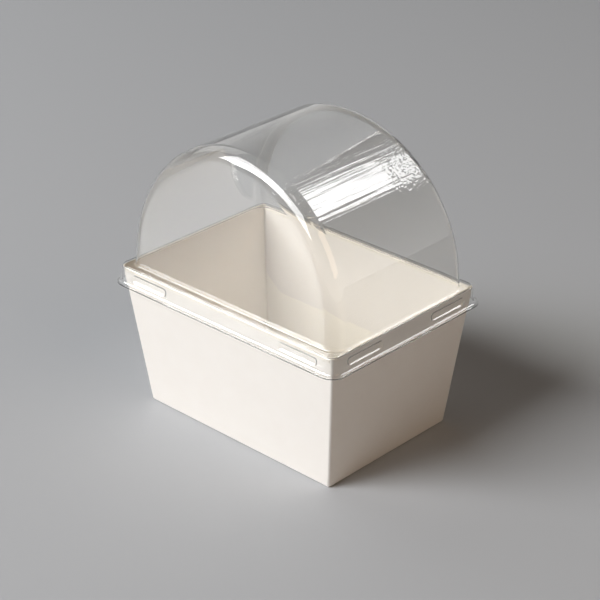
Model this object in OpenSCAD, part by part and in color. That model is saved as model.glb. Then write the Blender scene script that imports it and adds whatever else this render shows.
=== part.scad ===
// Paper dessert tub with a clear vaulted lid.
// The tub is one sheet of white paperboard, folded to a tapered box. The lid is
// one sheet of clear plastic, drawn over a mould: an arch stands on a flat
// flange, whose skirt clips down over the tub's rim.
// Millimetres. X runs along the tub's length, Y across it and Z up. The origin
// is the middle of the tub's underside.

/* [Tub] */
// Length of the tub over its rim
tub_top_l = 130; // [100:1:180]
// Width of the tub over its rim
tub_top_w = 92; // [70:1:120]
// Length of the tub over its base
tub_base_l = 113; // [90:1:128]
// Width of the tub over its base
tub_base_w = 78; // [60:1:90]
// Height of the tub
tub_h = 70; // [50:1:110]
// Thickness of the paperboard
board_t = 0.45; // [0.3:0.05:0.8]
// Outer radius of the board's folds, at the corners and round the base
fold_r = 1.3; // [1:0.1:3]

/* [Rim flaps] */
// Height of the flap that each long wall folds inwards over its rim
flap_h = 41; // [15:1:45]
// Length of the slanted cut at each lower corner of a flap
flap_cut_l = 10.5; // [4:0.5:20]
// Height of that slanted cut
flap_cut_h = 7.5; // [3:0.5:12]
// Gap between a flap's ends and the end walls
flap_gap = 0.5; // [0.2:0.1:2]

/* [Lid sheet] */
// Thickness of the plastic sheet
lid_t = 0.4; // [0.25:0.05:0.6]
// Gap between the tub's rim and the flange that rests over it
rim_gap = 0.2; // [0.1:0.05:0.5]
// Gap between the tub's rim and the skirt beside it
skirt_gap = 0.9; // [0.7:0.1:2]
// Depth of the skirt, from the tub's rim to the underside of its lip
skirt_h = 7.9; // [7:0.1:12]
// How far the skirt leans out from its top to its lip
skirt_flare = 0.5; // [0:0.1:1]
// Radius of the lid's corners, measured on the outline of the tub's rim
skirt_corner_r = 3; // [2.2:0.1:3.1]
// Outer radius of the bend between flange and skirt
skirt_bend_r = 0.8; // [0.7:0.1:1.2]
// Width of the lip round the foot of the skirt
lip_w = 2.2; // [1:0.1:4]
// Outer radius of the bend between skirt and lip
lip_bend_r = 0.5; // [0.3:0.1:0.8]

/* [Snap dimples] */
// Length of a dimple
dimple_l = 22.5; // [12:0.5:26]
// Height of a dimple
dimple_h = 4.2; // [3:0.1:4.5]
// How far a dimple is pressed in
dimple_d = 0.85; // [0.5:0.05:0.9]
// Depth of a dimple's middle below the tub's rim
dimple_drop = 3.7; // [3.3:0.1:4]
// Distance of a dimple's middle from the corner of the tub's rim
dimple_from_corner = 19; // [15:0.5:22]

/* [Arch] */
// Distance of the foot of the arch's legs from the ends of the tub
leg_inset = 1.5; // [1.4:0.1:6]
// Distance of the foot of the arch's flat walls from the tub's long sides
wall_inset = 3; // [1.6:0.1:8]
// Height of the arch's legs above the tub's rim
arch_leg = 8; // [5:0.5:30]
// Slope of the arch's legs, in degrees
leg_draft = 2; // [0:0.5:5]
// Slope of the two flat walls that close the arch, in degrees
wall_draft = 4; // [1:0.5:8]
// Outer radius of the edges of the arch
arch_edge_r = 7; // [3:0.5:9]
// Inner radius of the bend between arch and flange
foot_bend_r = 1; // [0.5:0.1:1.5]

/* [Hidden] */

// Steps of a fold in the board, of a round corner in the sheet, of the arch, of
// its rounded edge, and of a bend in the sheet
fold_steps = 24;
corner_steps = 32;
arch_steps = 44;
edge_steps = 8;
bend_steps = 5;
// A cut runs this far past the face that it opens, and a joined piece this far
// into its neighbour
over = 1;
join = 0.1;

// Slopes of the tub's end walls and long walls
end_slope = atan((tub_top_l - tub_base_l) / 2 / tub_h);
long_slope = atan((tub_top_w - tub_base_w) / 2 / tub_h);

// Heights of the flange's underside and top
flange_z = tub_h + rim_gap;
flange_top = flange_z + lid_t;
// Slope of the skirt, and how far its face stands out from the rim at the top
skirt_slope = atan(skirt_flare / skirt_h);
skirt_out = skirt_gap + lid_t;
// Height at which the bend at the arch's foot runs into the arch
foot_top = flange_top + foot_bend_r;
// Height of the lip's top
lip_top = tub_h - skirt_h + lid_t;
// Middles of the two bends of the skirt, as distance from the rim and height
bend_mid = [skirt_out - skirt_bend_r, flange_top - skirt_bend_r];
skirt_face = bend_mid.x * cos(skirt_slope) + bend_mid.y * sin(skirt_slope) + skirt_bend_r;
lip_mid_z = lip_top + lip_bend_r;
lip_mid = [(skirt_face + lip_bend_r - lip_mid_z * sin(skirt_slope)) / cos(skirt_slope), lip_mid_z];
lip_out = lip_mid.x + lip_w - lip_bend_r;

// Half length and half width of the arch's foot, the height of the arch's
// middle, its radius, and the core that its rounded edges roll round
foot_half_l = tub_top_l / 2 - leg_inset;
foot_half_w = tub_top_w / 2 - wall_inset;
arch_mid_z = tub_h + arch_leg;
arch_r = foot_half_l * cos(leg_draft) - (arch_mid_z - foot_top) * sin(leg_draft);
core_r = arch_r - arch_edge_r;

// Radius of a dimple's rounded pocket, and how far outside the skirt its middle lies
pocket_r = (dimple_h * dimple_h / 4 + dimple_d * dimple_d) / 2 / dimple_d;
pocket_out = pocket_r - dimple_d;

// Points on an arc about a middle, from one angle to another
function arc(mid, r, from, to, steps) =
    [for (k = [0:steps]) let (a = from + (to - from) * k / steps) mid + r * [cos(a), sin(a)]];

// Half of the tub's length or width at a height, over the outer face
function half_at(base, slope, z) = base / 2 + z * tan(slope);

// The tub's tapered form, its faces moved in by inset, with every fold rounded
module tub_form(inset) {
    r = fold_r - inset;
    past_rim = tub_h + 2 * fold_r;
    hull()
        for (z = [fold_r, past_rim], sx = [-1, 1], sy = [-1, 1])
            translate([
                sx * (half_at(tub_base_l, end_slope, z) - fold_r / cos(end_slope)),
                sy * (half_at(tub_base_w, long_slope, z) - fold_r / cos(long_slope)),
                z
            ])
                sphere(r, $fn = fold_steps);
}

// The outline of a rim flap, flat: x along the wall, y up from its lower edge
module flap_outline() {
    half_top = tub_top_l / 2 - (board_t + flap_gap) / cos(end_slope);
    half_cut = half_top - (flap_h - flap_cut_h) * tan(end_slope);
    half_low = half_cut - flap_cut_l;
    polygon([
        [-half_low, 0], [half_low, 0], [half_cut, flap_cut_h],
        [half_top, flap_h], [-half_top, flap_h], [-half_cut, flap_cut_h]
    ]);
}

// A flap lies against the inside of each long wall
module rim_flap() {
    translate([0, tub_top_w / 2, tub_h])
        rotate([90 - long_slope, 0, 0])
            translate([0, -flap_h, board_t - join])
                linear_extrude(board_t + join)
                    flap_outline();
}

// What is cut from the rim so that the folded board is round along a long wall
module rim_rounding() {
    round_r = board_t;
    translate([-tub_top_l / 2, tub_top_w / 2, tub_h])
        rotate([90, 0, 90])
            linear_extrude(tub_top_l)
                difference() {
                    translate([-2 * round_r - over, -round_r])
                        square([2 * (round_r + over), round_r + over]);
                    translate([-round_r, -round_r])
                        circle(round_r, $fn = fold_steps);
                }
}

module paper_tub() {
    color([0.95, 0.93, 0.9])
        difference() {
            union() {
                difference() {
                    tub_form(0);
                    tub_form(board_t);
                }
                for (turn = [0, 180])
                    rotate(turn)
                        rim_flap();
            }
            // The rim is cut level
            translate([-tub_top_l, -tub_top_w, tub_h])
                cube([2 * tub_top_l, 2 * tub_top_w, tub_h]);
            for (turn = [0, 180])
                rotate(turn)
                    rim_rounding();
        }
}

// Sweeps a section round a rectangle with round corners. The section's x is how
// far it stands out from the rectangle, and its y is its height.
module sweep_round(l, w, r) {
    for (k = [0:3]) {
        across = k % 2 == 0 ? l : w;
        along = k % 2 == 0 ? w : l;
        rotate(90 * k) {
            translate([across / 2, along / 2 - r, 0])
                rotate([90, 0, 0])
                    linear_extrude(along - 2 * r)
                        children();
            translate([across / 2 - r, along / 2 - r, 0])
                rotate_extrude(angle = 90, $fn = corner_steps)
                    translate([r, 0])
                        children();
        }
    }
}

// Section of the sheet from the flange's edge, down the skirt, to the lip
module skirt_section() {
    lip_r = lid_t / 2;
    polygon(concat(
        [[-join, flange_top]],
        arc(bend_mid, skirt_bend_r, 90, skirt_slope, bend_steps),
        arc(lip_mid, lip_bend_r, 180 + skirt_slope, 270, bend_steps),
        arc([lip_out - lip_r, lip_top - lip_r], lip_r, 90, -90, bend_steps),
        arc(lip_mid, lip_bend_r + lid_t, 270, 180 + skirt_slope, bend_steps),
        arc(bend_mid, skirt_bend_r - lid_t, skirt_slope, 90, bend_steps),
        [[-join, flange_z]]
    ));
}

// Flat flange over the tub's rim
module flange() {
    translate([0, 0, flange_z])
        linear_extrude(lid_t)
            for (turn = [0, 90])
                square(turn == 0
                    ? [tub_top_l, tub_top_w - 2 * skirt_corner_r]
                    : [tub_top_l - 2 * skirt_corner_r, tub_top_w], center = true);
    for (sx = [-1, 1], sy = [-1, 1])
        translate([sx * (tub_top_l / 2 - skirt_corner_r), sy * (tub_top_w / 2 - skirt_corner_r), flange_z])
            cylinder(h = lid_t, r = skirt_corner_r, $fn = corner_steps);
}

// A rounded bar along Y
module capsule(l, r) {
    rotate([90, 0, 0])
        cylinder(h = l, r = r, center = true, $fn = corner_steps);
    for (s = [-1, 1])
        translate([0, s * l / 2, 0])
            sphere(r, $fn = corner_steps);
}

// Puts its children on the skirt's face at the middle of each dimple, with X
// pointing straight out of the skirt
module at_dimples() {
    z = tub_h - dimple_drop;
    out = (skirt_face - z * sin(skirt_slope)) / cos(skirt_slope);
    for (k = [0:3]) {
        across = k % 2 == 0 ? tub_top_l : tub_top_w;
        along = k % 2 == 0 ? tub_top_w : tub_top_l;
        for (s = [-1, 1])
            rotate(90 * k)
                translate([across / 2 + out, s * (along / 2 - dimple_from_corner), z])
                    rotate([0, -skirt_slope, 0])
                        children();
    }
}

// The sheet pressed in behind a dimple
module dimple_bump() {
    reach = dimple_d + lid_t + over;
    intersection() {
        translate([pocket_out, 0, 0])
            capsule(dimple_l - dimple_h, pocket_r + lid_t);
        translate([-reach - lid_t / 2, -dimple_l, -dimple_h])
            cube([reach, 2 * dimple_l, 2 * dimple_h]);
    }
}

// The hollow of a dimple, as seen from outside
module dimple_pocket() {
    translate([pocket_out, 0, 0])
        capsule(dimple_l - dimple_h, pocket_r);
}

// Half width of the arch's core at a height, and half its length between the legs
function core_half_w(z) = foot_half_w - arch_edge_r / cos(wall_draft) - (z - foot_top) * tan(wall_draft);
function core_half_l(z) = core_r / cos(leg_draft) + (arch_mid_z - z) * tan(leg_draft);

// One ring of the arch, from leg to leg: side is -1 or 1, and turn goes from 0,
// where the edge meets the barrel, to 90, where it meets the flat wall. The
// first and the last point are the legs' feet, level at foot_z.
function arch_ring(r, foot_z, side, turn) =
    [for (k = [-1:arch_steps + 1])
        let (
            step = min(arch_steps, max(0, k)),
            a = leg_draft + (180 - 2 * leg_draft) * step / arch_steps,
            wall = [0, side * cos(wall_draft), sin(wall_draft)],
            way = cos(turn) * [cos(a), 0, sin(a)] + sin(turn) * wall,
            out = r * way / norm(way),
            z = k == step ? arch_mid_z + core_r * sin(a) : foot_z - out.z,
            x = k == step ? core_r * cos(a) : sign(cos(a)) * core_half_l(z)
        )
        [x, side * core_half_w(z), z] + out];

// Solid arch at a distance r from the core, standing on foot_z
module arch_form(r, foot_z) {
    turns = [for (k = [edge_steps:-1:0]) 90 * k / edge_steps];
    rings = concat(
        [for (t = turns) arch_ring(r, foot_z, -1, t)],
        [for (k = [edge_steps:-1:0]) arch_ring(r, foot_z, 1, turns[k])]
    );
    n = len(rings[0]);
    last = len(rings) - 1;
    polyhedron(
        [for (ring = rings) each ring],
        concat(
            [[for (k = [n - 1:-1:0]) k]],
            [for (i = [0:last - 1], k = [0:n - 1])
                let (next = (k + 1) % n)
                [i * n + k, i * n + next, (i + 1) * n + next, (i + 1) * n + k]],
            [[for (k = [0:n - 1]) last * n + k]]
        )
    );
}

// Middle of the bend at the arch's foot, so that its upper end lies just inside
// the arch's wall
foot_mid = [foot_bend_r - join, foot_top];

// Fills the corner between arch and flange with a hollow curve
module foot_fillet_section() {
    polygon(concat(
        [[-lid_t / 2, flange_top - join], [-lid_t / 2, foot_top]],
        arc(foot_mid, foot_bend_r, 180, 270, bend_steps),
        [[foot_mid.x, flange_top - join]]
    ));
}

// Rounds the same corner on the inside, so that the sheet keeps its thickness
module foot_rounding_section() {
    polygon(concat(
        [[-lid_t - over, flange_z - over], [-lid_t - over, foot_top]],
        arc(foot_mid, foot_bend_r + lid_t, 180, 270, bend_steps),
        [[foot_mid.x, flange_z - over]]
    ));
}

module sweep_foot() {
    sweep_round(2 * foot_half_l, 2 * foot_half_w, arch_edge_r)
        children();
}

module clear_lid() {
    color([0.85, 0.9, 0.92, 0.35])
        difference() {
            union() {
                arch_form(arch_edge_r, flange_z + join);
                flange();
                sweep_foot()
                    foot_fillet_section();
                sweep_round(tub_top_l, tub_top_w, skirt_corner_r)
                    skirt_section();
                at_dimples()
                    dimple_bump();
            }
            arch_form(arch_edge_r - lid_t, tub_h - over);
            sweep_foot()
                foot_rounding_section();
            at_dimples()
                dimple_pocket();
        }
}

paper_tub();
clear_lid();
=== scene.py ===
# %% [markdown]
# # A paper dessert tub under a clear arched lid
# The tub is one sheet of coated white board, cut, folded and glued. The lid is
# one sheet of clear plastic that was softened by heat and drawn over a mould.
# Both are thin sheets, so both are modelled as a single face first, as an open
# shell, and a Solidify modifier gives them their thickness at the end. That is
# how the real ones are made too: the form comes from bending a flat sheet.

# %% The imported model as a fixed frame
import math

import bmesh
import bpy
from mathutils import Matrix, Quaternion, Vector


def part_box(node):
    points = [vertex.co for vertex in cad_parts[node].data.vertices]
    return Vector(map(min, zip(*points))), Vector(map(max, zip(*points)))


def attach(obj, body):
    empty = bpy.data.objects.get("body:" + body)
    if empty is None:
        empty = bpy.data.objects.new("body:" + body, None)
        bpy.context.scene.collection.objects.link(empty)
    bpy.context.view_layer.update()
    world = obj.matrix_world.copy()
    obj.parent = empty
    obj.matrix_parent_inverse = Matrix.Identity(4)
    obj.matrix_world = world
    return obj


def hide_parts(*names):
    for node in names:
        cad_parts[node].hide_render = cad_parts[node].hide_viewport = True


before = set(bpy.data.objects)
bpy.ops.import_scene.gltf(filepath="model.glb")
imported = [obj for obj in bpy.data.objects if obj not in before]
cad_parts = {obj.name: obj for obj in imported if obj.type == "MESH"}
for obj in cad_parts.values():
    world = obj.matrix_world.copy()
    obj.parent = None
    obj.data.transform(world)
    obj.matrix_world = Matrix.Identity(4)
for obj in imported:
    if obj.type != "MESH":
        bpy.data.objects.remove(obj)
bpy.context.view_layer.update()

# %% [markdown]
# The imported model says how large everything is. Lengths are kept in metres,
# and a size that is easier to read in millimetres is multiplied by MM. The
# sizes that the frame can't tell, such as the thickness of the sheets, are
# named where they are first used, and all the rest is worked out from them.

# %% Sizes from the frame
MM = 0.001
tub_low, tub_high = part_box("paper_tub")
lid_low, lid_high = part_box("clear_lid")
tub_h = tub_high.z
rim_l = tub_high.x - tub_low.x
rim_w = rim_l - (lid_high.x - lid_low.x) + (lid_high.y - lid_low.y)
print(f"rim {rim_l / MM:.1f} by {rim_w / MM:.1f} mm, height {tub_h / MM:.1f} mm")

# %% [markdown]
# The camera stands about 0.9 m away and has a long lens, which keeps the
# edges nearly parallel. Its direction is an azimuth and an elevation, and it
# leans a third of a degree, as a camera held by hand does. The matrix is built
# from the camera's own three axes: right, up, and back towards the viewer.

# %% The camera
CAMERA_AZIMUTH = math.radians(43.647)
CAMERA_ELEVATION = math.radians(27.451)
CAMERA_ROLL = math.radians(-0.297)
CAMERA_DISTANCE = 891.4 * MM
CAMERA_AIM = Vector((-6.46, 9.48, 51.79)) * MM
CAMERA_LENS = 116.53  # millimetres, on a sensor 36 mm wide
CAMERA_NEAR = 10 * MM


def from_angles(azimuth, elevation):
    """The unit vector at an azimuth, counted from -Y towards +X, and an elevation."""
    flat = math.cos(elevation)
    return Vector((math.sin(azimuth) * flat, -math.cos(azimuth) * flat, math.sin(elevation)))


bpy.ops.object.select_all(action="DESELECT")
bpy.ops.object.camera_add()
camera = bpy.context.object
back = from_angles(CAMERA_AZIMUTH, CAMERA_ELEVATION)
level_right = Vector((math.cos(CAMERA_AZIMUTH), math.sin(CAMERA_AZIMUTH), 0))
right = Matrix.Rotation(CAMERA_ROLL, 3, back) @ level_right
up = back.cross(right)
turn = Matrix((right, up, back)).transposed().to_4x4()
camera.matrix_world = Matrix.Translation(CAMERA_AIM + CAMERA_DISTANCE * back) @ turn
camera.data.lens = CAMERA_LENS
camera.data.clip_start = CAMERA_NEAR
bpy.context.scene.camera = camera
bpy.context.scene.view_settings.view_transform = "Standard"
print("camera at", tuple(round(c / MM) for c in camera.matrix_world.translation), "mm")

# %% [markdown]
# Colours are picked as sRGB hex values, as on a paint chart, but shaders count
# in linear light, so one function turns the one into the other. A second small
# function adds a node with its settings, its values and its links in one call.
# Every pattern is laid out on Object coordinates, in metres, so its scale can
# be worked out from a real size.

# %% Helpers for materials


def linear(code):
    """A colour such as #F4EFE8 as the linear red, green, blue and alpha of a shader."""
    shares = [int(code[i:i + 2], 16) / 255 for i in (1, 3, 5)]
    rgb = [c / 12.92 if c <= 0.04045 else ((c + 0.055) / 1.055) ** 2.4 for c in shares]
    return (*rgb, 1.0)


def add_node(tree, kind, values=None, links=None, **settings):
    """Adds a node with its settings, the values of its inputs and the sockets linked to them."""
    node = tree.nodes.new(kind)
    for name, value in settings.items():
        setattr(node, name, value)
    sockets = {socket.name: socket for socket in node.inputs if socket.enabled}
    sockets.update({socket.identifier: socket for socket in node.inputs if socket.enabled})
    for name, value in (values or {}).items():
        sockets[name].default_value = value
    for name, source in (links or {}).items():
        tree.links.new(source, sockets[name])
    return node


def new_material(name):
    """An empty material and its tree."""
    material = bpy.data.materials.new(name)
    material.use_nodes = True
    material.node_tree.nodes.clear()
    return material, material.node_tree


# %% [markdown]
# Board is coated with a fine white clay, which gives a smooth, slightly silky
# and slightly warm white. The coat scatters most of what it mirrors, so its
# sheen is kept low. Under it the fibres still make the surface a little uneven:
# a soft unevenness some 9 mm wide, which shows in the sheen and barely in the
# colour, and a fine tooth. The real tooth is about 0.1 mm, too fine for the
# picture, so it is drawn at 0.5 mm. Inside, a thin film keeps grease out, and
# that side's sheen is tighter. That side is also painted a little lighter, as
# painted light that brightens the inner walls, and a little warmer. The cut
# edge shows the raw, creamier fibre.

# %% Coated board
BOARD_IOR = 1.5
BOARD_SHEEN = 0.15
BOARD_MOTTLE = 9 * MM
MOTTLE_DETAIL = 4.0
BOARD_TOOTH = 0.5 * MM
TOOTH_DETAIL = 2.0


def board_material(name, bright, shade, roughness, tooth_depth, wave_depth):
    """White board: a pale mottle, a soft waviness and a fine tooth under one even sheen."""
    material, tree = new_material(name)
    place = add_node(tree, "ShaderNodeTexCoord").outputs["Object"]
    mottle = add_node(
        tree, "ShaderNodeTexNoise", {"Scale": 1 / BOARD_MOTTLE, "Detail": MOTTLE_DETAIL}, {"Vector": place})
    colour = add_node(
        tree, "ShaderNodeMix", {"A_Color": linear(bright), "B_Color": linear(shade)},
        {"Factor_Float": mottle.outputs["Fac"]}, data_type="RGBA",
    )
    tooth = add_node(
        tree, "ShaderNodeTexNoise", {"Scale": 1 / BOARD_TOOTH, "Detail": TOOTH_DETAIL}, {"Vector": place})
    wave = add_node(
        tree, "ShaderNodeBump", {"Strength": 1.0, "Distance": wave_depth},
        {"Height": mottle.outputs["Fac"]},
    )
    bump = add_node(
        tree, "ShaderNodeBump", {"Strength": 1.0, "Distance": tooth_depth},
        {"Height": tooth.outputs["Fac"], "Normal": wave.outputs["Normal"]},
    )
    shader = add_node(
        tree, "ShaderNodeBsdfPrincipled",
        {"Roughness": roughness, "IOR": BOARD_IOR, "Specular IOR Level": BOARD_SHEEN},
        {"Base Color": colour.outputs["Result"], "Normal": bump.outputs["Normal"]},
    )
    add_node(tree, "ShaderNodeOutputMaterial", links={"Surface": shader.outputs["BSDF"]})
    return material


coated_board = board_material(
    "clay_coated_board", "#F5F0EA", "#F2ECE5", roughness=0.48, tooth_depth=0.004 * MM, wave_depth=0.05 * MM)
# The inside's colour is painted lighter than the board, as painted light on the inner walls.
lined_board_painted_lighter = board_material(
    "film_lined_board", "#FEF9F0", "#FBF5EA", roughness=0.34, tooth_depth=0.003 * MM, wave_depth=0.06 * MM)
cut_board = board_material(
    "cut_board_edge", "#EFE6D6", "#E2D5BF", roughness=0.8, tooth_depth=0.03 * MM, wave_depth=0.02 * MM)
print("board materials:", coated_board.name, lined_board_painted_lighter.name, cut_board.name)

# %% [markdown]
# The lid is PET sheet, clear as glass, with an IOR of about 1.57. Both of its
# faces mirror a little, which is what makes it visible at all. When the hot
# sheet is drawn over the mould it stretches along the arch's axis and cools in
# fine ridges on the arch's shoulders, so a lamp is mirrored there as a bundle
# of streaks. The ridges are a noise that is stretched forty times along Y.
# Towards the +Y end of each shoulder the sheet has crumpled a little, and that
# is the same kind of noise without the stretch. A table says where each of
# them fades out, and the sheet is smooth beyond.
#
# Light that falls on the board goes straight through so thin a sheet. So the
# sheet is swapped for a transparent shader with a small loss for three kinds of
# rays: those that look for a lamp, those that have bounced off something matt,
# and the blurred ones that the board's own sheen sends out. Without that, the
# lamps would be counted twice behind the sheet: once straight through it and
# once refracted by it.

# %% Clear sheet
PET_IOR = 1.57
PET_TINT = linear("#FCFCFB")
PET_LOSS = linear("#FAFAF9")
PET_CLEAR = 0.995
RIDGE_SPACING = 1.2 * MM
RIDGE_STRETCH = 40
RIDGE_DETAIL = 1.0
RIDGE_DEPTH = 0.34 * MM
CRUMPLE_SIZE = 1.5 * MM
CRUMPLE_DETAIL = 0.6
CRUMPLE_DEPTH = 0.24 * MM
SHEET_FADES = (
    # what fades, the axis, whether it is the same on either side, where it is nothing, where it is full
    ("ridges", "X", True, 25 * MM, 33 * MM),
    ("ridges", "X", True, 49 * MM, 37 * MM),
    ("ridges", "Y", True, 36 * MM, 34 * MM),
    ("crumple", "X", True, 28 * MM, 33 * MM),
    ("crumple", "X", True, 54 * MM, 46 * MM),
    ("crumple", "Y", False, 11 * MM, 21 * MM),
    ("crumple", "Z", False, 112 * MM, 119 * MM),
)


def clear_sheet_material(name):
    """Drawn PET sheet: clear, glossy, with fine ridges along the arch's axis."""
    material, tree = new_material(name)
    place = add_node(tree, "ShaderNodeTexCoord").outputs["Object"]
    apart = add_node(tree, "ShaderNodeSeparateXYZ", links={"Vector": place})
    stretched = add_node(
        tree, "ShaderNodeMapping", {"Scale": (1, 1 / RIDGE_STRETCH, 1)}, {"Vector": place})
    ridges = add_node(
        tree, "ShaderNodeTexNoise", {"Scale": 1 / RIDGE_SPACING, "Detail": RIDGE_DETAIL},
        {"Vector": stretched.outputs["Vector"]},
    )
    crumple = add_node(
        tree, "ShaderNodeTexNoise", {"Scale": 1 / CRUMPLE_SIZE, "Detail": CRUMPLE_DETAIL}, {"Vector": place})
    reliefs = (
        ("ridges", ridges.outputs["Fac"], RIDGE_DEPTH),
        ("crumple", crumple.outputs["Fac"], CRUMPLE_DEPTH),
    )
    surface = None
    for title, height, depth in reliefs:
        for faded, axis, both_sides, nothing, full in SHEET_FADES:
            if faded != title:
                continue
            distance = apart.outputs[axis]
            if both_sides:
                distance = add_node(
                    tree, "ShaderNodeMath", links={"Value": distance}, operation="ABSOLUTE").outputs["Value"]
            fade = add_node(
                tree, "ShaderNodeMapRange", {"From Min": nothing, "From Max": full}, {"Value": distance},
                interpolation_type="SMOOTHSTEP")
            height = add_node(
                tree, "ShaderNodeMath", links={"Value": height, "Value_001": fade.outputs["Result"]},
                operation="MULTIPLY").outputs["Value"]
        links = {"Height": height}
        if surface:
            links["Normal"] = surface.outputs["Normal"]
        surface = add_node(tree, "ShaderNodeBump", {"Strength": 1.0, "Distance": depth}, links)
    sheet = add_node(
        tree, "ShaderNodeBsdfPrincipled",
        {"Base Color": PET_TINT, "Roughness": 0.0, "IOR": PET_IOR, "Transmission Weight": PET_CLEAR},
        {"Normal": surface.outputs["Normal"]},
    )
    passed = add_node(tree, "ShaderNodeBsdfTransparent", {"Color": PET_LOSS})
    path = add_node(tree, "ShaderNodeLightPath")
    bounced = add_node(
        tree, "ShaderNodeMath", links={
            "Value": path.outputs["Is Shadow Ray"], "Value_001": path.outputs["Diffuse Depth"]},
        operation="ADD")
    blurred = add_node(
        tree, "ShaderNodeMath", links={
            "Value": path.outputs["Is Glossy Ray"], "Value_001": path.outputs["Is Singular Ray"]},
        operation="GREATER_THAN")
    straight = add_node(
        tree, "ShaderNodeMath", links={
            "Value": bounced.outputs["Value"], "Value_001": blurred.outputs["Value"]},
        operation="ADD", use_clamp=True)
    shader = add_node(
        tree, "ShaderNodeMixShader", links={
            "Fac": straight.outputs["Value"],
            "Shader": sheet.outputs["BSDF"],
            "Shader_001": passed.outputs["BSDF"],
        },
    )
    add_node(tree, "ShaderNodeOutputMaterial", links={"Surface": shader.outputs["Shader"]})
    return material


clear_sheet = clear_sheet_material("drawn_pet_sheet")
print("sheet material:", clear_sheet.name)

# %% [markdown]
# Modelling by hand is a round of picking and acting. In a script, picking is a
# test on each vertex, edge or face: its place, its direction or its size. One
# function picks, and one opens a new primitive for editing. A direction faces
# an axis when the cosine between the two is over 0.9, and is aligned with it
# when the cosine is over 0.99.

# %% Helpers for modelling
EPS = 0.01 * MM
FACING = 0.9
ALIGNED = 0.99
SMOOTH_ANGLE = math.radians(40)


def start_piece(name):
    """Names the primitive just added and opens it for editing, all selected."""
    piece = bpy.context.object
    piece.name = piece.data.name = name
    bpy.ops.object.mode_set(mode="EDIT")
    bpy.ops.mesh.select_all(action="SELECT")
    return piece


def pick(kind, test):
    """Selects the vertices, edges or faces that pass a test, and says how many did."""
    mesh = bpy.context.edit_object.data
    bpy.ops.mesh.select_mode(type=kind)
    bpy.ops.mesh.select_all(action="DESELECT")
    shell = bmesh.from_edit_mesh(mesh)
    parts = {"VERT": shell.verts, "EDGE": shell.edges, "FACE": shell.faces}[kind]
    found = [part for part in parts if test(part)]
    for part in found:
        part.select_set(True)
    shell.select_flush_mode()
    bmesh.update_edit_mesh(mesh)
    return len(found)


def middle(edge):
    """The middle of an edge."""
    return (edge.verts[0].co + edge.verts[1].co) / 2


def share_along(edge, axis):
    """How much of an edge's direction lies along an axis, from 0 to 1."""
    span = edge.verts[1].co - edge.verts[0].co
    return abs(span[axis]) / max(span.length, EPS)


def resize(x=1, y=1, z=1, about=(0, 0, 0)):
    """Scales what is selected about a point."""
    bpy.ops.transform.resize(value=(x, y, z), center_override=about)


def extrude_by(step):
    """Extrudes what is selected and moves the new part by a step."""
    bpy.ops.mesh.extrude_region_move(TRANSFORM_OT_translate={"value": step})


def round_edges(offset, segments):
    """Bevels the selected edges into an arc of so many segments."""
    bpy.ops.mesh.bevel(offset=offset, segments=segments, profile=0.5, affect="EDGES", clamp_overlap=False)


def apply_modifier(piece, kind, name, **settings):
    """Adds a modifier with its settings and applies it."""
    modifier = piece.modifiers.new(name, kind)
    for key, value in settings.items():
        setattr(modifier, key, value)
    with bpy.context.temp_override(object=piece, active_object=piece):
        bpy.ops.object.modifier_apply(modifier=modifier.name)


def finish_sheet(piece, thickness):
    """Gives an open shell its thickness on the inside, and smooths its bends but not its cut edges."""
    last_slot = len(piece.data.materials) - 1
    apply_modifier(
        piece, "SOLIDIFY", "sheet thickness", thickness=thickness, offset=-1,
        use_even_offset=True, use_quality_normals=True,
        material_offset=min(1, last_slot), material_offset_rim=min(2, last_slot),
    )
    bpy.ops.object.shade_smooth_by_angle(angle=SMOOTH_ANGLE)
    apply_modifier(piece, "WEIGHTED_NORMAL", "flat faces stay flat", keep_sharp=True, weight=50)
    print(piece.name, "has", sum(len(p.vertices) - 2 for p in piece.data.polygons), "triangles")


# %% [markdown]
# The tub starts as a block the size of its base. The top is scaled out to the
# rim, which gives the four walls their slopes, and then taken off. The folds
# between the panels are bevels: a creased fold in 0.45 mm board has an outer
# radius of about 1.3 mm. A bevel's offset is measured along the panel, and
# where panels meet at a bit more than a right angle it is less than the radius.

# %% The tub's panels
BASE_L = 113 * MM
BASE_W = 78 * MM
BOARD_T = 0.45 * MM
FOLD_R = 1.3 * MM
FOLD_OFFSET = 0.92 * FOLD_R
FOLD_STEPS = 5

bpy.ops.object.select_all(action="DESELECT")
bpy.ops.mesh.primitive_cube_add(size=1, location=(0, 0, 0))
tub = start_piece("folded_board_tub")
resize(BASE_L, BASE_W, tub_h)
bpy.ops.transform.translate(value=(0, 0, tub_h / 2))
pick("FACE", lambda f: f.normal.z > FACING)
resize(rim_l / BASE_L, rim_w / BASE_W, 1, (0, 0, tub_h))
bpy.ops.mesh.delete(type="FACE")
end_slope = math.atan((rim_l - BASE_L) / 2 / tub_h)
long_slope = math.atan((rim_w - BASE_W) / 2 / tub_h)
folds = pick("EDGE", lambda e: middle(e).z < tub_h - EPS / 2)
round_edges(FOLD_OFFSET, FOLD_STEPS)
print(folds, "folds; walls lean out by", round(math.degrees(end_slope), 2), "and",
      round(math.degrees(long_slope), 2), "degrees")

# %% [markdown]
# Each long wall carries a flap that is folded inwards over the rim and glued
# down inside, which makes the rim stiff and hides its cut edge. The wall's top
# edge is lowered a little to make room for the fold, spun half a turn about the
# fold's middle, and then extruded back down along the wall. The flap's lower
# corners are cut away, because the end walls lean in towards the base.

# %% The flaps folded over the rim
FLAP_H = 41 * MM
FLAP_CUT_L = 10.5 * MM
FLAP_CUT_H = 7.5 * MM
FLAP_GAP = 0.5 * MM
RIM_FOLD_R = 0.5 * MM
RIM_FOLD_STEPS = 6
RIM_NOTCH = 0.6 * MM

fold_end = rim_l / 2 - FOLD_R - RIM_NOTCH
for side in (-1, 1):
    for end in (-1, 1):
        pick("FACE", lambda f: f.normal.y * side > FACING)
        bpy.ops.mesh.bisect(plane_co=(end * fold_end, 0, 0), plane_no=(1, 0, 0))


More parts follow.
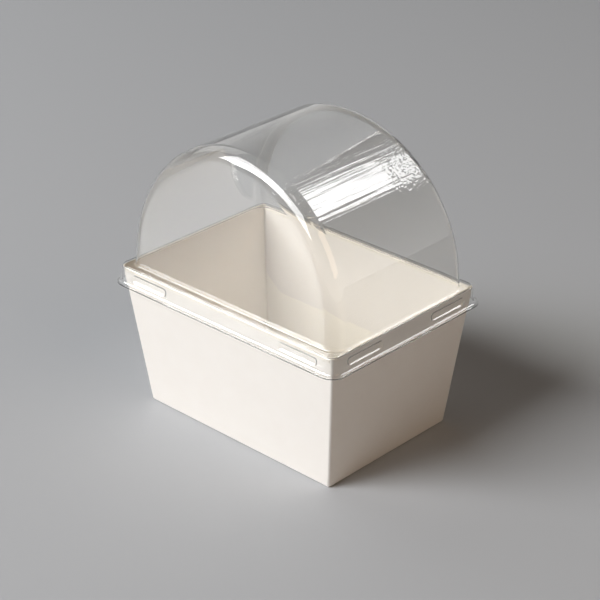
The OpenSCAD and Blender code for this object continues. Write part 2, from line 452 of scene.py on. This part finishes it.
def is_fold_line(edge, side):
    """True for the part of a long wall's top edge that is folded over."""
    return (
        edge.is_boundary and share_along(edge, 0) > ALIGNED
        and middle(edge).y * side > 0 and abs(middle(edge).x) < fold_end
    )


for side in (-1, 1):
    up_wall = Vector((0, side * math.sin(long_slope), math.cos(long_slope)))
    out_wall = Vector((0, side * math.cos(long_slope), -math.sin(long_slope)))
    room = RIM_FOLD_R * (1 + math.sin(long_slope)) / math.cos(long_slope)
    folded = pick("EDGE", lambda e: is_fold_line(e, side))
    bpy.ops.transform.translate(value=-room * up_wall)
    start = Vector((0, side * rim_w / 2, tub_h)) - room * up_wall
    bpy.ops.mesh.spin(
        steps=RIM_FOLD_STEPS, angle=math.pi, center=start - RIM_FOLD_R * out_wall, axis=(side, 0, 0))
    extrude_by(-(FLAP_H - FLAP_CUT_H) * up_wall)
    half_top = rim_l / 2 - (BOARD_T + FLAP_GAP) / math.cos(end_slope)
    half_cut = half_top - (FLAP_H - FLAP_CUT_H) * math.tan(end_slope)
    resize(half_cut / fold_end)
    extrude_by(-FLAP_CUT_H * up_wall)
    resize((half_cut - FLAP_CUT_L) / half_cut)
    print(folded, "edge folded over; its flap's corners are cut", round(FLAP_CUT_H / MM, 1), "mm high")
bpy.ops.object.mode_set(mode="OBJECT")
tub.data.materials.append(coated_board)
tub.data.materials.append(lined_board_painted_lighter)
tub.data.materials.append(cut_board)
finish_sheet(tub, BOARD_T)

# %% [markdown]
# The lid's arch starts as a long cylinder lying across the tub. A cut near the
# height of its middle leaves a half-round, the cut face is pulled down and out
# to make the legs, and two slanted cuts give the flat walls. Legs and walls all
# lean in by a few degrees, so that the lid comes off its mould. The edges round
# the walls are then bevelled to the mould's generous radius.

# %% The arch
LID_T = 0.4 * MM
RIM_GAP = 0.2 * MM
LEG_INSET = 1.5 * MM
WALL_INSET = 3 * MM
ARCH_LEG = 8 * MM
LEG_DRAFT = math.radians(2)
WALL_DRAFT = math.radians(4)
ARCH_EDGE_R = 7 * MM
ARCH_STEPS = 96
EDGE_STEPS = 10

flange_top = tub_h + RIM_GAP + LID_T
arch_mid = tub_h + ARCH_LEG
arch_r = lid_high.z - arch_mid
leg_top = arch_mid + arch_r * math.sin(LEG_DRAFT)
foot_half_l = rim_l / 2 - LEG_INSET
foot_half_w = rim_w / 2 - WALL_INSET

bpy.ops.object.select_all(action="DESELECT")
bpy.ops.mesh.primitive_cylinder_add(
    vertices=2 * ARCH_STEPS, radius=arch_r, depth=2 * rim_w, location=(0, 0, 0), end_fill_type="NGON")
lid = start_piece("clear_arched_lid")
bpy.ops.transform.rotate(value=math.pi / 2, orient_axis="X", center_override=(0, 0, 0))
bpy.ops.transform.translate(value=(0, 0, arch_mid))
bpy.ops.mesh.bisect(plane_co=(0, 0, leg_top), plane_no=(0, 0, 1), clear_inner=True, use_fill=True)
pick("FACE", lambda f: f.normal.z < -FACING)
extrude_by((0, 0, flange_top - leg_top))
resize(foot_half_l / (arch_r * math.cos(LEG_DRAFT)))
for side in (-1, 1):
    bpy.ops.mesh.select_all(action="SELECT")
    bpy.ops.mesh.bisect(
        plane_co=(0, side * foot_half_w, flange_top),
        plane_no=(0, side * math.cos(WALL_DRAFT), math.sin(WALL_DRAFT)),
        clear_outer=True, use_fill=True,
    )


def is_arch_edge(edge):
    """True for an edge between a flat wall and the barrel or a leg."""
    walls = [abs(f.normal.y) > FACING for f in edge.link_faces]
    foot = [f.normal.z < -FACING for f in edge.link_faces]
    return any(walls) and not all(walls) and not any(foot)


print(pick("EDGE", is_arch_edge), "edges to round")
round_edges(ARCH_EDGE_R, EDGE_STEPS)
pick("FACE", lambda f: f.normal.z < -FACING)
bpy.ops.mesh.delete(type="ONLY_FACE")

# %% [markdown]
# Below the arch, the sheet runs on as a flat flange over the tub's rim, turns
# down as a skirt and ends in a narrow lip. Each of these is one more extrusion
# of the sheet's open edge. After an extrusion, each of the four round corners
# is picked, scaled to its new radius about its own middle, and moved to its new
# place. The straight sides follow, and each point keeps its neighbour, which
# bridging two separate rings doesn't promise.

# %% Flange, skirt and lip
CORNER_R = 3 * MM
SKIRT_TOP_OUT = 1.25 * MM
SKIRT_FOOT_OUT = 1.76 * MM
LIP_TOP_DROP = 7.5 * MM

lip_out = lid_high.x - rim_l / 2
lip_top = tub_h - LIP_TOP_DROP
rings = [(SKIRT_TOP_OUT, flange_top), (SKIRT_FOOT_OUT, lip_top), (lip_out, lip_top)]

rim_corner = Vector((rim_l / 2 - CORNER_R, rim_w / 2 - CORNER_R))
last_corner = Vector((foot_half_l - ARCH_EDGE_R, foot_half_w - ARCH_EDGE_R))
last_r = ARCH_EDGE_R
last_z = flange_top
for out, z in rings:
    pick("EDGE", lambda e: e.is_boundary)
    extrude_by((0, 0, z - last_z))
    grow = (CORNER_R + out) / last_r
    step = rim_corner - last_corner
    for sx in (-1, 1):
        for sy in (-1, 1):
            pick("VERT", lambda v: v.is_boundary and v.co.x * sx > 0 and v.co.y * sy > 0)
            resize(grow, grow, 1, (sx * last_corner.x, sy * last_corner.y, z))
            bpy.ops.transform.translate(value=(sx * step.x, sy * step.y, 0))
    last_corner, last_r, last_z = rim_corner, CORNER_R + out, z
    print(f"edge drawn out to {out / MM:.2f} mm past the rim, at a height of {z / MM:.1f} mm")

# %% [markdown]
# So far the sheet turns sharply at the arch's foot, at the skirt's top and at
# its foot. A sheet that is drawn over a mould can't do that, so bevels turn the
# three rings into bends. The bend above the lip is the widest, and it catches
# the light as one thin bright line round the whole lid.

# %% The bends
FOOT_BEND_R = 1.0 * MM
SKIRT_BEND_R = 0.8 * MM
LIP_BEND_R = 1.5 * MM
BEND_STEPS = 6
RING_SLACK = 0.05 * MM


def ring_distance(place):
    """How far a place stands out from the outline of the tub's rim, corners rounded."""
    dx = abs(place.x) - (rim_l / 2 - CORNER_R)
    dy = abs(place.y) - (rim_w / 2 - CORNER_R)
    return math.hypot(max(dx, 0), max(dy, 0)) + min(max(dx, dy), 0) - CORNER_R


def at_ring(edge, out, z):
    """True for an edge of a ring at a height, and out from the rim or, for the arch's foot, inside it."""
    if any(abs(v.co.z - z) > EPS for v in edge.verts):
        return False
    if out < 0:
        return all(ring_distance(v.co) < 0 for v in edge.verts)
    return all(abs(ring_distance(v.co) - out) < RING_SLACK for v in edge.verts)


bends = [
    (-LEG_INSET, flange_top, FOOT_BEND_R),
    (SKIRT_TOP_OUT, flange_top, SKIRT_BEND_R),
    (SKIRT_FOOT_OUT, lip_top, LIP_BEND_R),
]
for out, z, radius in bends:
    found = pick("EDGE", lambda e: at_ring(e, out, z))
    round_edges(radius, BEND_STEPS)
    print(found, "edges bent to", round(radius / MM, 2), "mm")

# %% [markdown]
# Eight oblong dimples are pressed into the skirt, two on each side. They snap
# under the board's rim. The skirt's flat band needs fine faces there and
# nowhere else, so it is cut into three nearly square parts under each dimple,
# and those are subdivided.

# %% Fine faces for the snap dimples
DIMPLE_L = 22.5 * MM
DIMPLE_H = 4.2 * MM
DIMPLE_FROM_CORNER = 19 * MM
PAD_MARGIN = 1.0 * MM
PAD_PARTS = 3
PAD_CUTS = 27
SKIRT_CLEAR = 0.5 * MM  # all that stands further out from the rim than this is skirt or lip
BAND_START = 0.3 * MM  # the flat band is higher than this above the lip

half_pad = DIMPLE_L / 2 + PAD_MARGIN
pads = []
for axis, half in ((0, rim_l / 2), (1, rim_w / 2)):
    for end in (-1, 1):
        pads.append((axis, end * (half - DIMPLE_FROM_CORNER)))


def on_skirt(face, axis):
    """True for a face of the skirt's flat band on the two sides that run along an axis."""
    centre = face.calc_center_median()
    return (
        abs(face.normal[1 - axis]) > ALIGNED and lip_top + BAND_START < centre.z < tub_h
        and ring_distance(centre) > SKIRT_CLEAR
    )


def on_pad(face, axis, pad_middle):
    """True for a face of the skirt's flat band under one dimple."""
    return on_skirt(face, axis) and abs(face.calc_center_median()[axis] - pad_middle) < half_pad


for axis, pad_middle in pads:
    along_side = Vector((1 - axis, axis, 0))
    for part in range(PAD_PARTS + 1):
        pick("FACE", lambda f: on_skirt(f, axis))
        cut_at = pad_middle - half_pad + 2 * half_pad * part / PAD_PARTS
        bpy.ops.mesh.bisect(plane_co=cut_at * along_side, plane_no=along_side)
print(pick("FACE", lambda f: any(on_pad(f, *pad) for pad in pads)), "faces under the dimples")
bpy.ops.mesh.subdivide(number_cuts=PAD_CUTS)
bpy.ops.object.mode_set(mode="OBJECT")

# %% [markdown]
# A vertex group says how deep each point of the skirt is pressed, and a
# Displace modifier then moves it inwards along its normal. Each dimple has a
# flat floor and a wall that starts and ends softly, as half a wave of a cosine
# does. The steep middle of that wall is what mirrors the light as a thin bar.
# Then the lid gets its material and its thickness.

# %% Pressing the dimples in
DIMPLE_D = 0.85 * MM
DIMPLE_DROP = 3.7 * MM
DIMPLE_WALL = 1.1 * MM

dimple_z = tub_h - DIMPLE_DROP


def dimple_depth(place):
    """How deep a point of the skirt is pressed in, as a share of the dimple's depth."""
    share = 0.0
    for axis, pad_middle in pads:
        if ring_distance(place) < SKIRT_CLEAR or abs(place[1 - axis]) < (rim_w, rim_l)[axis] / 2:
            continue
        past = max(0.0, abs(place[axis] - pad_middle) - (DIMPLE_L - DIMPLE_H) / 2)
        inside = DIMPLE_H / 2 - math.hypot(past, place.z - dimple_z)
        down_wall = min(1.0, max(0.0, inside / DIMPLE_WALL))
        share = max(share, (1 - math.cos(math.pi * down_wall)) / 2)
    return share


press = lid.vertex_groups.new(name="press")
pressed = 0
for vertex in lid.data.vertices:
    share = dimple_depth(vertex.co) if lip_top < vertex.co.z < tub_h else 0
    if share > 0:
        press.add([vertex.index], share, "REPLACE")
        pressed += 1
print(pressed, "points pressed in, by up to", round(DIMPLE_D / MM, 2), "mm")
apply_modifier(
    lid, "DISPLACE", "press the dimples", strength=-DIMPLE_D, mid_level=0.0, vertex_group="press")
lid.vertex_groups.clear()
lid.data.materials.append(clear_sheet)
finish_sheet(lid, LID_T)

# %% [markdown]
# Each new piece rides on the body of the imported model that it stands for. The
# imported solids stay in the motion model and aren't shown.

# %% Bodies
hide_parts("paper_tub")
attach(tub, "tub")
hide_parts("clear_lid")
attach(lid, "lid")
print(tub.name, "rides on tub,", lid.name, "rides on lid")

# %% [markdown]
# The stage is one pale paper sweep, 8 m wide. The paper has a slight sheen,
# which throws light up at the tub and at the lid. Seen directly it is matt, as
# through a filter on the lens that takes the glare away, so that no view of it
# is washed out. Light Path tells the two apart: on the way from the camera,
# also through the lid, Diffuse Depth and Glossy Depth are both zero.

# %% The floor
FLOOR_SIZE = 8.0
FLOOR_COLOUR = linear("#BDBFC2")
FLOOR_SHEEN = 0.5
FLOOR_ROUGHNESS = 0.32
floor_material, floor_tree = new_material("paper_sweep")
floor_matt = add_node(
    floor_tree, "ShaderNodeBsdfPrincipled", {"Base Color": FLOOR_COLOUR, "Specular IOR Level": 0.0})
floor_silky = add_node(
    floor_tree, "ShaderNodeBsdfPrincipled",
    {"Base Color": FLOOR_COLOUR, "Roughness": FLOOR_ROUGHNESS, "Specular IOR Level": FLOOR_SHEEN})
floor_path = add_node(floor_tree, "ShaderNodeLightPath")
seen_indirectly = add_node(
    floor_tree, "ShaderNodeMath", links={
        "Value": floor_path.outputs["Diffuse Depth"], "Value_001": floor_path.outputs["Glossy Depth"]},
    operation="ADD", use_clamp=True)
floor_shader = add_node(
    floor_tree, "ShaderNodeMixShader", links={
        "Fac": seen_indirectly.outputs["Value"],
        "Shader": floor_matt.outputs["BSDF"],
        "Shader_001": floor_silky.outputs["BSDF"],
    },
)
add_node(floor_tree, "ShaderNodeOutputMaterial", links={"Surface": floor_shader.outputs["Shader"]})
bpy.ops.object.select_all(action="DESELECT")
bpy.ops.mesh.primitive_plane_add(size=FLOOR_SIZE, location=(0, 0, 0))
floor = bpy.context.object
floor.name = "floor"
floor.data.materials.append(floor_material)
print("floor", FLOOR_SIZE, "m wide")

# %% [markdown]
# The key lamp is a large soft lamp in front of the tub, high and to the left of
# the camera, and it gives the shadow at the right. A weak warm lamp at the right
# and a weak white one at the left rear keep the right wall and the floor from
# going dark. The last two lamps light nothing that is matt. They only show where
# something mirrors them: the window lamp draws the bright band on the arch's
# front edge, and the streak lamp, behind the tub, draws the streaks on the
# arch's shoulder.

# %% The lamps
LAMP_AIM = Vector((0, 0, 60 * MM))
LAMPS = (
    # name, azimuth, elevation, distance, width, height, watts, colour, roll, whether it lights matt things
    ("key_lamp", -29, 35, 3.0, 2.4, 1.1, 105, "#FFFFFF", 35, True),
    ("fill_lamp", 95, 32, 2.0, 1.4, 1.2, 7.1, "#FFE4C8", 0, True),
    ("rear_lamp", -100, 35, 2.0, 1.2, 1.2, 4.2, "#FFFFFF", 0, True),
    ("window_lamp", -21, 40, 3.0, 3.6, 1.9, 125, "#FFFFFF", 0, False),
    ("streak_lamp", 160.5, 39, 2.5, 0.82, 0.8, 18, "#FFFFFF", 36, False),
)
for name, azimuth, elevation, distance, width, height, watts, colour, roll, lights_matt in LAMPS:
    bpy.ops.object.select_all(action="DESELECT")
    bpy.ops.object.light_add(type="AREA")
    lamp = bpy.context.object
    lamp.name = name
    way = from_angles(math.radians(azimuth), math.radians(elevation))
    lamp.location = LAMP_AIM + distance * way
    facing = way.to_track_quat("Z", "Y") @ Quaternion((0, 0, 1), math.radians(roll))
    lamp.rotation_euler = facing.to_euler()
    lamp.data.shape = "RECTANGLE"
    lamp.data.size = width
    lamp.data.size_y = height
    lamp.data.energy = watts
    lamp.data.color = linear(colour)[:3]
    lamp.visible_camera = False
    lamp.visible_diffuse = lights_matt
    print(name, "at", tuple(round(c, 2) for c in lamp.location), "m")

# %% [markdown]
# The room is dark, and only the lamps light the tub. A mirror sees a little more
# of the room: a pale band above the horizon that fades out with height, as of
# walls far away, and that gives the lid a soft sheen. Seen directly, the room is
# a dark grey, so that the horizon stays quiet in a low view. Light that has
# bounced off something matt doesn't see it, so it doesn't fill the shadow.

# %% The room
HORIZON_LEVEL = 0.66
HORIZON_TOP = 0.6
ROOM_LEVEL = 0.05
HALF_A_BOUNCE = 0.5
world = bpy.data.worlds.new("soft_room")
bpy.context.scene.world = world
world.use_nodes = True
room = world.node_tree
room.nodes.clear()
looked_at = add_node(room, "ShaderNodeTexCoord").outputs["Generated"]
direction = add_node(room, "ShaderNodeSeparateXYZ", links={"Vector": looked_at})
horizon = add_node(
    room, "ShaderNodeMapRange",
    {"From Min": 0.0, "From Max": HORIZON_TOP, "To Min": HORIZON_LEVEL, "To Max": 0.0},
    {"Value": direction.outputs["Z"]})
room_path = add_node(room, "ShaderNodeLightPath")
unbounced = add_node(
    room, "ShaderNodeMath", {"Value_001": HALF_A_BOUNCE}, {"Value": room_path.outputs["Diffuse Depth"]},
    operation="LESS_THAN")
mirrored = add_node(
    room, "ShaderNodeMapRange", {"From Min": 0.0, "From Max": 1.0, "To Min": ROOM_LEVEL},
    {"Value": room_path.outputs["Glossy Depth"], "To Max": horizon.outputs["Result"]})
strength = add_node(
    room, "ShaderNodeMath", links={
        "Value": mirrored.outputs["Result"], "Value_001": unbounced.outputs["Value"]},
    operation="MULTIPLY")
backdrop = add_node(
    room, "ShaderNodeBackground", {"Color": linear("#FFFFFF")}, {"Strength": strength.outputs["Value"]})
add_node(room, "ShaderNodeOutputWorld", links={"Surface": backdrop.outputs["Background"]})
print("room:", len(room.nodes), "nodes")
